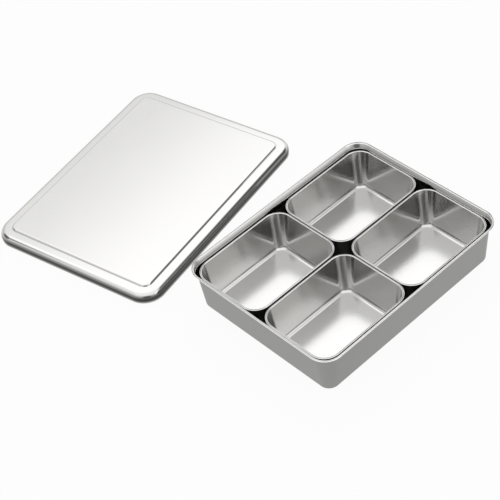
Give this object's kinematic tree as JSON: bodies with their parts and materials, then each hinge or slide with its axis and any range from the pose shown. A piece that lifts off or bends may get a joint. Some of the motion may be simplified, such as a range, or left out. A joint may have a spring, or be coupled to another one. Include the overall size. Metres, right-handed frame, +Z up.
{
  "type": "spice box",
  "caption": "Pressed steel spice box: a rimmed tray that holds loose lift-out pans side by side, and a lid with a raised panel, shown taken off beside it.",
  "frame": {"origin": "middle of the flat underside of the tray", "axes": "+X along the tray's long side, +Y across it towards the lid, +Z up"},
  "size_m": [0.3483, 0.519, 0.0556],
  "materials": {
    "satin_steel": "satin",
    "bright_steel": "bright"
  },
  "bodies": {
    "tray": {"tray": "satin_steel"},
    "lid": {"lid": "bright_steel"},
    "pan_front": {"pan_front": "satin_steel"},
    "pan_right": {"pan_right": "satin_steel"},
    "pan_back": {"pan_back": "satin_steel"},
    "pan_left": {"pan_left": "satin_steel"}
  },
  "joints": [
    {"name": "lid_lift", "type": "slide", "parent": "tray", "child": "lid", "axis": [0, 0, 1], "range_m": [0, 0.08]},
    {"name": "pan_front_lift", "type": "slide", "parent": "tray", "child": "pan_front", "axis": [0, 0, 1], "range_m": [0, 0.06]},
    {"name": "pan_right_lift", "type": "slide", "parent": "tray", "child": "pan_right", "axis": [0, 0, 1], "range_m": [0, 0.06]},
    {"name": "pan_back_lift", "type": "slide", "parent": "tray", "child": "pan_back", "axis": [0, 0, 1], "range_m": [0, 0.06]},
    {"name": "pan_left_lift", "type": "slide", "parent": "tray", "child": "pan_left", "axis": [0, 0, 1], "range_m": [0, 0.06]}
  ]
}
